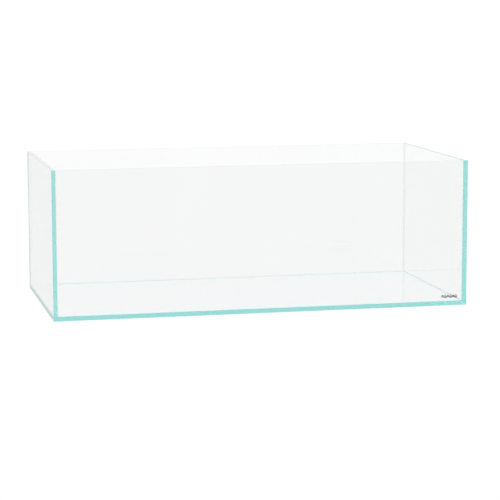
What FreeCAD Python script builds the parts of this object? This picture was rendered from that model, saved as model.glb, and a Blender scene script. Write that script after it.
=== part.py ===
import FreeCAD, Part
import math
import os

# Rimless glass aquarium tank: five low-iron glass panes with 45 degree mitred edges, bonded with silicone.
#
# Millimetres. +X runs along the width to the viewer's right, +Y runs from the front to the rear, +Z is up.
# The origin is the centre of the underside.
#
# Every point of the tank has a distance inward from each outer plane. A pane is the part of the glass shell
# that lies nearer to its own plane than to any other. Where two of those distances are nearly equal lies the
# silicone of a mitre joint. Inside, a tooled silicone bead covers each joint.

# ---------------------------------------------------------------- driving dimensions
WIDTH = 600.0
DEPTH = 300.0
HEIGHT = 210.0
GLASS = 6.0               # pane thickness
BOND = 0.6                # silicone thickness inside a mitre joint
ARRIS = 0.2               # what polishing takes off each outer edge, and off the rim's inner edge
BEAD_LEG = 1.2            # how far an inner bead reaches over each pane
BEAD_WAIST = 0.36         # where the hollow of the bead's face lies, as a share of its leg
BEAD_STOP = 1.5           # an upright bead ends this far below the rim
MARK_WIDTH = 24.0         # generic printed mark, two wave lines and six bubbles: the length of a line
MARK_HEIGHT = 5.0         # from the lower line's troughs to the top of the largest bubble
MARK_FROM_SIDE = 26.1     # from the tank's right side to the mark's middle
MARK_FROM_FLOOR = 13.5    # from the underside to the mark's middle
MARK_FILM = 0.15          # thickness of the fired ink
MARK_STROKE = 0.20        # of the mark's height: how thick a wave line is
MARK_RISE = 0.12          # of the mark's height: how far a wave swings to each side
MARK_HALF_WAVES = 6       # half waves in a line
MARK_LINE_LEVELS = (-0.28, 0.04)  # of the mark's height: where the wave lines run
MARK_BUBBLE_LEVEL = 0.35  # of the mark's height: where the bubbles' middles are
# The bubbles, each as (place along the mark, in widths from its middle; radius, in heights)
MARK_BUBBLES = ((-0.42, 0.08), (-0.25, 0.15), (-0.06, 0.09), (0.09, 0.13), (0.27, 0.08), (0.42, 0.15))

# ---------------------------------------------------------------- values worked out from them
VECTOR = FreeCAD.Vector
UP = VECTOR(0, 0, 1)
MITRE_GAP = BOND / math.sqrt(2)       # difference of two distances at the face of a mitred pane
REACH = 2 * (WIDTH + DEPTH + HEIGHT)  # larger than anything here

# Outer planes: name -> (inward normal, a point on the plane)
PLANES = {
    "front": (VECTOR(0, 1, 0), VECTOR(0, -DEPTH / 2, 0)),
    "rear": (VECTOR(0, -1, 0), VECTOR(0, DEPTH / 2, 0)),
    "left": (VECTOR(1, 0, 0), VECTOR(-WIDTH / 2, 0, 0)),
    "right": (VECTOR(-1, 0, 0), VECTOR(WIDTH / 2, 0, 0)),
    "base": (VECTOR(0, 0, 1), VECTOR(0, 0, 0)),
}
UPRIGHT_JOINTS = [("front", "left"), ("front", "right"), ("rear", "left"), ("rear", "right")]
BASE_JOINTS = [("front", "base"), ("rear", "base"), ("left", "base"), ("right", "base")]


# ---------------------------------------------------------------- half-spaces
def keep(shape, direction, limit):
    """The part of shape whose points p have direction * p <= limit."""
    block = Part.makeBox(REACH, REACH, REACH, VECTOR(-REACH / 2, -REACH / 2, -REACH))
    turn = FreeCAD.Rotation(UP, direction)
    foot = direction * (limit / direction.dot(direction))
    block.Placement = FreeCAD.Placement(foot, turn)
    return shape.common(block)


def nearer(shape, own, other, gap):
    """The part of shape that lies nearer to plane own than to plane other, by at least gap."""
    own_normal, own_point = PLANES[own]
    other_normal, other_point = PLANES[other]
    limit = own_normal.dot(own_point) - other_normal.dot(other_point) - gap
    return keep(shape, own_normal - other_normal, limit)


def neighbours(name):
    """Planes that meet plane name in an edge of the tank."""
    normal = PLANES[name][0]
    return [other for other in PLANES if abs(normal.dot(PLANES[other][0])) < 0.5]


# ---------------------------------------------------------------- glass shell, pane by pane
def glass_shell():
    """The whole tank as one body: a hollowed box with arrises along its outer edges and inside its rim."""
    outside = Part.makeBox(WIDTH, DEPTH, HEIGHT, VECTOR(-WIDTH / 2, -DEPTH / 2, 0))
    outside = outside.makeChamfer(ARRIS, outside.Edges)
    inner_width = WIDTH - 2 * GLASS
    inner_depth = DEPTH - 2 * GLASS
    corner = VECTOR(-inner_width / 2, -inner_depth / 2, GLASS)
    hollow = Part.makeBox(inner_width, inner_depth, HEIGHT - GLASS, corner)
    flare = tapered_block(inner_width, inner_depth, HEIGHT - ARRIS, ARRIS)
    return outside.cut(hollow.fuse(flare))


def tapered_block(width, depth, level, growth):
    """A block from level upwards by growth, whose sides widen by growth at 45 degrees."""
    def rectangle(extra, height):
        x = width / 2 + extra
        y = depth / 2 + extra
        ring = [VECTOR(-x, -y, height), VECTOR(x, -y, height), VECTOR(x, y, height), VECTOR(-x, y, height)]
        return Part.makePolygon(ring + ring[:1])
    return Part.makeLoft([rectangle(0, level), rectangle(growth, level + growth)], True, True)


def pane(shell, name):
    """One pane: within a glass thickness of its own plane, and clear of every mitre joint."""
    normal, point = PLANES[name]
    shape = keep(shell, normal, normal.dot(point) + GLASS)
    for other in neighbours(name):
        shape = nearer(shape, name, other, MITRE_GAP)
    return shape


def bond(shell, first, second):
    """Silicone in the mitre joint of two panes. Where three joints meet, each ends at the others' middle."""
    shape = nearer(shell, first, second, -MITRE_GAP)
    shape = nearer(shape, second, first, -MITRE_GAP)
    for other in PLANES:
        if other not in (first, second):
            shape = nearer(shape, first, other, 0)
            shape = nearer(shape, second, other, 0)
    return shape


# ---------------------------------------------------------------- tooled beads inside the corners
def bead_bar(first, second):
    """A long bar along the inner corner of two panes: two flat sides on the glass and a hollow face."""
    (u, u_point), (v, v_point) = PLANES[first], PLANES[second]
    corner = u * (u.dot(u_point) + GLASS) + v * (v.dot(v_point) + GLASS)
    along = u.cross(v)
    start = corner - along * (REACH / 2)
    on_first = start + v * BEAD_LEG
    on_second = start + u * BEAD_LEG
    middle = start + (u + v) * (BEAD_LEG * BEAD_WAIST)
    edges = [
        Part.makeLine(start, on_first),
        Part.Arc(on_first, middle, on_second).toShape(),
        Part.makeLine(on_second, start),
    ]
    return Part.Face(Part.Wire(edges)).extrude(along * REACH)


def base_bead(name):
    """The bead between the floor and one wall, mitred with its neighbours in the corners."""
    shape = bead_bar(name, "base")
    for other in neighbours(name):
        if other != "base":
            shape = nearer(shape, name, other, 0)
    return shape


def upright_bead(first, second, floor_beads):
    """The bead in an upright corner. It stands on the two floor beads that it meets."""
    shape = keep(bead_bar(first, second), UP, HEIGHT - BEAD_STOP)
    shape = keep(shape, -UP, -GLASS)
    return shape.cut(floor_beads[first].fuse(floor_beads[second]))


# ---------------------------------------------------------------- printed mark
def wave_line(middle, length, halves, rise, stroke):
    """A flat wavy stroke of arcs that join smoothly. It is centred on middle and has halves half waves."""
    chord = length / halves
    radius = (chord * chord / 4 + rise * rise) / (2 * rise)
    half_angle = math.asin(chord / 2 / radius)
    drop = radius - rise                       # from a chord to the centre of its arc

    def edge_point(k, side, at_crest):
        """A point on one edge of the stroke: at the start of half wave k, or at its crest."""
        bend = 1 if k % 2 == 0 else -1
        reach = radius + side * bend * stroke / 2
        angle = 0 if at_crest else -half_angle
        x = (k + 0.5) * chord - length / 2 + reach * math.sin(angle)
        z = bend * (reach * math.cos(angle) - drop)
        return middle + VECTOR(x, 0, z)

    def rail(side):
        ends = [edge_point(k, side, False) for k in range(halves + 1)]
        crests = [edge_point(k, side, True) for k in range(halves)]
        return ends, [Part.Arc(ends[k], crests[k], ends[k + 1]).toShape() for k in range(halves)]

    upper_ends, upper = rail(1)
    lower_ends, lower = rail(-1)
    tail = Part.makeLine(upper_ends[-1], lower_ends[-1])
    head = Part.makeLine(lower_ends[0], upper_ends[0])
    outline = Part.Wire(upper + [tail] + lower[::-1] + [head])
    return Part.Face(outline).extrude(VECTOR(0, MARK_FILM, 0))


def printed_mark():
    """Fired ink on the outside of the front pane: two wave lines with six bubbles over them."""
    middle = VECTOR(WIDTH / 2 - MARK_FROM_SIDE, -DEPTH / 2 - MARK_FILM, MARK_FROM_FLOOR)
    stroke = MARK_HEIGHT * MARK_STROKE
    rise = MARK_HEIGHT * MARK_RISE
    lines = []
    for level in MARK_LINE_LEVELS:
        place = middle + VECTOR(0, 0, MARK_HEIGHT * level)
        lines.append(wave_line(place, MARK_WIDTH, MARK_HALF_WAVES, rise, stroke))
    bubbles = []
    for share, radius in MARK_BUBBLES:
        place = middle + VECTOR(MARK_WIDTH * share, 0, MARK_HEIGHT * MARK_BUBBLE_LEVEL)
        bubbles.append(Part.makeCylinder(MARK_HEIGHT * radius, MARK_FILM, place, VECTOR(0, 1, 0)))
    return Part.makeCompound(lines + bubbles)


# ---------------------------------------------------------------- build and write
def build():
    shell = glass_shell()
    nodes = {}
    for name in PLANES:
        nodes[name + "_pane"] = pane(shell, name)
    for first, second in UPRIGHT_JOINTS + BASE_JOINTS:
        nodes[f"{first}_{second}_bond"] = bond(shell, first, second)
    floor_beads = {name: base_bead(name) for name, _ in BASE_JOINTS}
    for name, shape in floor_beads.items():
        nodes[f"{name}_base_bead"] = shape
    for first, second in UPRIGHT_JOINTS:
        nodes[f"{first}_{second}_bead"] = upright_bead(first, second, floor_beads)
    nodes["printed_mark"] = printed_mark()
    return nodes


def main():
    os.makedirs("parts", exist_ok=True)
    for name, shape in build().items():
        solids = shape.Solids
        kept = solids[0] if len(solids) == 1 else Part.makeCompound(solids)
        kept.exportStep(f"parts/{name}.step")
        volume = sum(solid.Volume for solid in solids)
        print(f"{name:20s} solids {len(solids)}  valid {kept.isValid()}  volume {volume / 1000:9.3f} cm3")


main()
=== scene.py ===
import math

import bpy
from mathutils import Euler, Matrix, Vector

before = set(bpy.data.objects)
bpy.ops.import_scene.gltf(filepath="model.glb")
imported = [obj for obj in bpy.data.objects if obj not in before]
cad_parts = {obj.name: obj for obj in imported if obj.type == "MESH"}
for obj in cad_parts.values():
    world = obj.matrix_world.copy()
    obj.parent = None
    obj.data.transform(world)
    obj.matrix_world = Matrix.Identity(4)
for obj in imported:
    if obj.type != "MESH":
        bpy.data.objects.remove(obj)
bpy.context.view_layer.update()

# Looks of a rimless glass aquarium tank. Metres, in the frame of the CAD part.

# ---------------------------------------------------------------- glass
GLASS_IOR = 1.52
WALL_LOSS_PER_METRE = (3.55, 0.96, 1.08)   # red, green and blue light absorbed inside low-iron glass
BASE_LOSS_PER_METRE = (3.90, 1.06, 1.19)   # the same in the base pane, whose glass is slightly greener
LOSS_SHARE = 0.9                           # the strongest channel's loss, as a share of the volume's density
WALL_PASSES = (0.962, 0.950, 0.949)        # of the light, beside the loss inside the glass
WALL_GRAZING_PAINTED_SHADE = (0.60, 0.57, 0.58)   # painted shade: the same, painted darker, for light that strikes a wall at a grazing angle
BASE_PASSES = (0.985, 0.985, 0.985)
GRAZING_FROM = 0.72                        # Layer Weight's Facing where the painted shade starts to darken a wall
GRAZING_TO = 0.90                          # and where it is at its darkest
SMUDGE = 0.006                             # how much the faint smears on a pane change its tint
SMEAR_SCALE = 13.5
SMEAR_STRETCH = (1, 1, 0.4)                # drawn out upwards
EDGE_COAT = 0.75                           # a second reflection on the rim and the arrises, which look pale

# ---------------------------------------------------------------- silicone and ink
BEAD_IOR = 1.10                            # a bead is wet on the glass, so that it bends light only a little
CLOUD_SCALE = 90.0                         # of the noise in the silicone's tint
GRAIN_SCALE = 360.0                        # of the noise in the silicone's roughness
SPECK_SCALE = 3900.0                       # of the noise in the ink
HAIR = 0.00004                             # silicone is drawn in by this much
WELD_WITHIN = 1e-6                         # vertices this close together are made one

NOISE_LOW = 0.35                           # most values of a noise pattern lie between these two
NOISE_HIGH = 0.65

# ---------------------------------------------------------------- camera and light
CAMERA_AT = (-0.6178, -2.7965, 0.4809)
CAMERA_YAW = 12.70     # degrees to the right of straight ahead (+Y)
CAMERA_PITCH = 8.18    # degrees downwards
CAMERA_ROLL = -0.14    # degrees
CAMERA_LENS = 140.1    # mm
CAMERA_SENSOR = 36.0   # mm, the width of the sensor
STUDIO_WHITE = 1.03    # brightness of the light that comes from all around
FLOOR_SIZE = 30.0
FLOOR_DROP = 0.0002    # the floor lies this far under the tank, so that their faces don't coincide
BOUNCES = 160          # light that is guided along the inside of a pane is reflected about 90 times
TRANSPARENT_BOUNCES = 16

# ---------------------------------------------------------------- faces
SQUARE_TO_AN_AXIS = 0.9    # a normal whose largest part is below this leans
LEANS_THAT_WAY = 0.6       # a normal with more than this of a direction leans, or looks, that way
INWARD = {
    "front": Vector((0, 1, 0)),
    "rear": Vector((0, -1, 0)),
    "left": Vector((1, 0, 0)),
    "right": Vector((-1, 0, 0)),
    "base": Vector((0, 0, 1)),
}


# ---------------------------------------------------------------- node helpers
def new_material(name):
    material = bpy.data.materials.new(name)
    material.use_nodes = True
    tree = material.node_tree
    tree.nodes.clear()
    output = tree.nodes.new("ShaderNodeOutputMaterial")
    shader = tree.nodes.new("ShaderNodeBsdfPrincipled")
    tree.links.new(shader.outputs["BSDF"], output.inputs["Surface"])
    return material, tree, shader, output


def noise(tree, scale, detail, stretch=(1, 1, 1)):
    """A noise pattern fixed to the object. stretch draws it out along an axis where it's small."""
    coords = tree.nodes.new("ShaderNodeTexCoord")
    mapping = tree.nodes.new("ShaderNodeMapping")
    mapping.inputs["Scale"].default_value = stretch
    texture = tree.nodes.new("ShaderNodeTexNoise")
    texture.inputs["Scale"].default_value = scale
    texture.inputs["Detail"].default_value = detail
    tree.links.new(coords.outputs["Object"], mapping.inputs["Vector"])
    tree.links.new(mapping.outputs["Vector"], texture.inputs["Vector"])
    return texture.outputs["Fac"]


def ramp(tree, source, low, high, colour_low, colour_high):
    """Colours from colour_low to colour_high as source goes from low to high."""
    node = tree.nodes.new("ShaderNodeValToRGB")
    node.color_ramp.elements[0].position = low
    node.color_ramp.elements[0].color = (*colour_low, 1)
    node.color_ramp.elements[1].position = high
    node.color_ramp.elements[1].color = (*colour_high, 1)
    tree.links.new(source, node.inputs["Fac"])
    return node.outputs["Color"]


def rescale(tree, source, from_low, from_high, to_low, to_high):
    """A number from to_low to to_high as source goes from from_low to from_high."""
    node = tree.nodes.new("ShaderNodeMapRange")
    node.inputs["From Min"].default_value = from_low
    node.inputs["From Max"].default_value = from_high
    node.inputs["To Min"].default_value = to_low
    node.inputs["To Max"].default_value = to_high
    tree.links.new(source, node.inputs["Value"])
    return node.outputs["Result"]


def mix_colours(tree, factor, first, second):
    """From first to second as factor goes from 0 to 1. Each is a socket or a plain colour."""
    node = tree.nodes.new("ShaderNodeMix")
    node.data_type = "RGBA"
    tree.links.new(factor, node.inputs["Factor"])
    for side, colour in (("A", first), ("B", second)):
        if isinstance(colour, tuple):
            node.inputs[side].default_value = (*colour, 1)
        else:
            tree.links.new(colour, node.inputs[side])
    return node.outputs["Result"]


def face_flag(tree, name):
    """A flag that flag_faces stored on each face: 1 or 0."""
    node = tree.nodes.new("ShaderNodeAttribute")
    node.attribute_name = name
    return node.outputs["Fac"]


def roughen(tree, shader, pattern, smoothest, roughest):
    """Roughness that follows a noise pattern."""
    roughness = rescale(tree, pattern, NOISE_LOW, NOISE_HIGH, smoothest, roughest)
    tree.links.new(roughness, shader.inputs["Roughness"])


# ---------------------------------------------------------------- materials
def shell_faces(tree, shader, tint):
    """Clear, and paler at the edges. A face bonded to the next piece passes light unbent and untinted."""
    bonded = face_flag(tree, "bonded_face")
    shader.inputs["Transmission Weight"].default_value = 1.0
    shader.inputs["IOR"].default_value = GLASS_IOR
    tree.links.new(rescale(tree, bonded, 0, 1, GLASS_IOR, 1.0), shader.inputs["IOR"])
    tree.links.new(mix_colours(tree, bonded, tint, (1.0, 1.0, 1.0)), shader.inputs["Base Color"])
    shader.inputs["Coat Roughness"].default_value = 0.0
    coat = rescale(tree, face_flag(tree, "edge_face"), 0, 1, 0.0, EDGE_COAT)
    tree.links.new(coat, shader.inputs["Coat Weight"])


def glass_material(name, passes, grazing_painted_shade, loss_per_metre):
    """Clear glass that tints light by the length of its way through it, with faint smears on its faces and
    painted shade that darkens it where it is seen at a grazing angle.
    """
    material, tree, shader, output = new_material(name)
    smears = noise(tree, SMEAR_SCALE, 3.0, SMEAR_STRETCH)
    dim = tuple(share - SMUDGE / 2 for share in passes)
    bright = tuple(share + SMUDGE / 2 for share in passes)
    tint = ramp(tree, smears, NOISE_LOW, NOISE_HIGH, dim, bright)
    # painted shade: the tint is mixed towards a darker colour where a face is seen at a grazing angle
    angle = tree.nodes.new("ShaderNodeLayerWeight")
    angle.inputs["Blend"].default_value = 0.5
    grazing = rescale(tree, angle.outputs["Facing"], GRAZING_FROM, GRAZING_TO, 0, 1)
    shell_faces(tree, shader, mix_colours(tree, grazing, tint, grazing_painted_shade))
    shader.inputs["Roughness"].default_value = 0.0
    loss = tree.nodes.new("ShaderNodeVolumeAbsorption")
    density = max(loss_per_metre) / LOSS_SHARE
    loss.inputs["Color"].default_value = (*[1 - channel / density for channel in loss_per_metre], 1)
    loss.inputs["Density"].default_value = density
    tree.links.new(loss.outputs["Volume"], output.inputs["Volume"])
    return material


def silicone_tint(tree, pale, deep):
    """Slightly cloudy, from deep to pale."""
    return ramp(tree, noise(tree, CLOUD_SCALE, 4.0), NOISE_LOW, NOISE_HIGH, deep, pale)


def joint_material():
    """Clear silicone between two panes. It bends light as glass does, so that a joint hardly shows."""
    material, tree, shader, _ = new_material("clear_joint_silicone")
    shell_faces(tree, shader, silicone_tint(tree, pale=(0.99, 1.0, 1.0), deep=(0.97, 0.985, 0.985)))
    roughen(tree, shader, noise(tree, GRAIN_SCALE, 2.0), smoothest=0.0, roughest=0.02)
    return material


def bead_material():
    """Clear tooled silicone in an inner corner."""
    material, tree, shader, _ = new_material("clear_bead_silicone")
    shader.inputs["Transmission Weight"].default_value = 1.0
    shader.inputs["IOR"].default_value = BEAD_IOR
    tint = silicone_tint(tree, pale=(0.99, 0.995, 0.995), deep=(0.955, 0.975, 0.975))
    tree.links.new(tint, shader.inputs["Base Color"])
    roughen(tree, shader, noise(tree, GRAIN_SCALE, 2.0), smoothest=0.02, roughest=0.08)
    return material


def ink_material():
    """Dark fired ink: satin, with fine specks where the screen left less of it."""
    material, tree, shader, _ = new_material("dark_fired_ink")
    specks = noise(tree, SPECK_SCALE, 3.0)
    colour = ramp(tree, specks, 0.38, 0.62, (0.012, 0.012, 0.013), (0.035, 0.035, 0.038))
    tree.links.new(colour, shader.inputs["Base Color"])
    roughen(tree, shader, specks, smoothest=0.42, roughest=0.58)
    return material


# ---------------------------------------------------------------- dressing the CAD nodes
def flag_faces(node, inwards):
    """Flags the faces bonded to another piece, and the edge faces, which are the rim and the arrises.

    inwards are the inward normals of the panes that the piece is or joins. A bonded face leans 45 degrees
    towards the inside. At the rim a face looks straight up or leans upwards. Any other leaning face is
    an arris.
    """
    bonded = []
    edge = []
    at_base = any(inward.z > 0 for inward in inwards)
    for face in node.data.polygons:
        leans = max(abs(part) for part in face.normal) < SQUARE_TO_AN_AXIS
        leans_in = leans and any(face.normal.dot(inward) > LEANS_THAT_WAY for inward in inwards)
        at_rim = face.normal.z > LEANS_THAT_WAY and not at_base
        is_bonded = leans_in and not at_rim
        is_edge = at_rim or (leans and not is_bonded)
        bonded.append(float(is_bonded))
        edge.append(float(is_edge))
    for name, values in (("bonded_face", bonded), ("edge_face", edge)):
        node.data.attributes.new(name, "FLOAT", "FACE").data.foreach_set("value", values)


def dress(node, material):
    node.data.materials.clear()
    node.data.materials.append(material)


def shrink(node, amount):
    """Draws a piece in by a hair, so that its faces don't coincide with the glass they sit on."""
    weld = node.modifiers.new("weld", "WELD")
    weld.merge_threshold = WELD_WITHIN
    draw_in = node.modifiers.new("draw_in", "DISPLACE")
    draw_in.mid_level = 0.0
    draw_in.strength = -amount


def dress_tank():
    wall_glass = glass_material("low_iron_glass", WALL_PASSES, WALL_GRAZING_PAINTED_SHADE, WALL_LOSS_PER_METRE)
    base_glass = glass_material("low_iron_glass_base", BASE_PASSES, BASE_PASSES, BASE_LOSS_PER_METRE)
    joint = joint_material()
    bead = bead_material()
    ink = ink_material()
    for name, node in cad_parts.items():
        inwards = [INWARD[word] for word in name.split("_") if word in INWARD]
        if name.endswith("_pane"):
            dress(node, base_glass if name == "base_pane" else wall_glass)
            flag_faces(node, inwards)
        elif name.endswith("_bond"):
            dress(node, joint)
            flag_faces(node, inwards)
            shrink(node, HAIR)
        elif name.endswith("_bead"):
            dress(node, bead)
            shrink(node, HAIR)
        else:
            dress(node, ink)


# ---------------------------------------------------------------- studio
def studio_floor():
    """A light table: an even white surface, lit from below, on which clear glass throws no shadow."""
    bpy.ops.mesh.primitive_plane_add(size=FLOOR_SIZE, location=(0, 0, -FLOOR_DROP))
    floor = bpy.context.object
    floor.name = "studio_floor"
    material, tree, shader, output = new_material("studio_floor")
    lit = tree.nodes.new("ShaderNodeEmission")
    lit.inputs["Strength"].default_value = STUDIO_WHITE
    tree.links.new(lit.outputs["Emission"], output.inputs["Surface"])
    tree.nodes.remove(shader)
    floor.data.materials.append(material)


def studio_light():
    world = bpy.data.worlds.new("studio")
    world.use_nodes = True
    background = world.node_tree.nodes["Background"]
    background.inputs["Color"].default_value = (1, 1, 1, 1)
    background.inputs["Strength"].default_value = STUDIO_WHITE
    bpy.context.scene.world = world


def camera():
    data = bpy.data.cameras.new("camera")
    data.lens = CAMERA_LENS
    data.sensor_width = CAMERA_SENSOR
    data.clip_start = 0.1
    data.clip_end = 100.0
    eye = bpy.data.objects.new("camera", data)
    eye.location = CAMERA_AT
    aim = Euler((math.radians(90 - CAMERA_PITCH), 0, math.radians(-CAMERA_YAW)), "XYZ").to_matrix()
    eye.rotation_euler = (aim @ Matrix.Rotation(math.radians(CAMERA_ROLL), 3, "Z")).to_euler()
    bpy.context.scene.collection.objects.link(eye)
    bpy.context.scene.camera = eye


def light_paths():
    scene = bpy.context.scene
    scene.view_settings.view_transform = "Standard"
    scene.cycles.max_bounces = BOUNCES
    scene.cycles.transmission_bounces = BOUNCES
    scene.cycles.glossy_bounces = BOUNCES
    scene.cycles.transparent_max_bounces = TRANSPARENT_BOUNCES


dress_tank()
studio_floor()
studio_light()
camera()
light_paths()
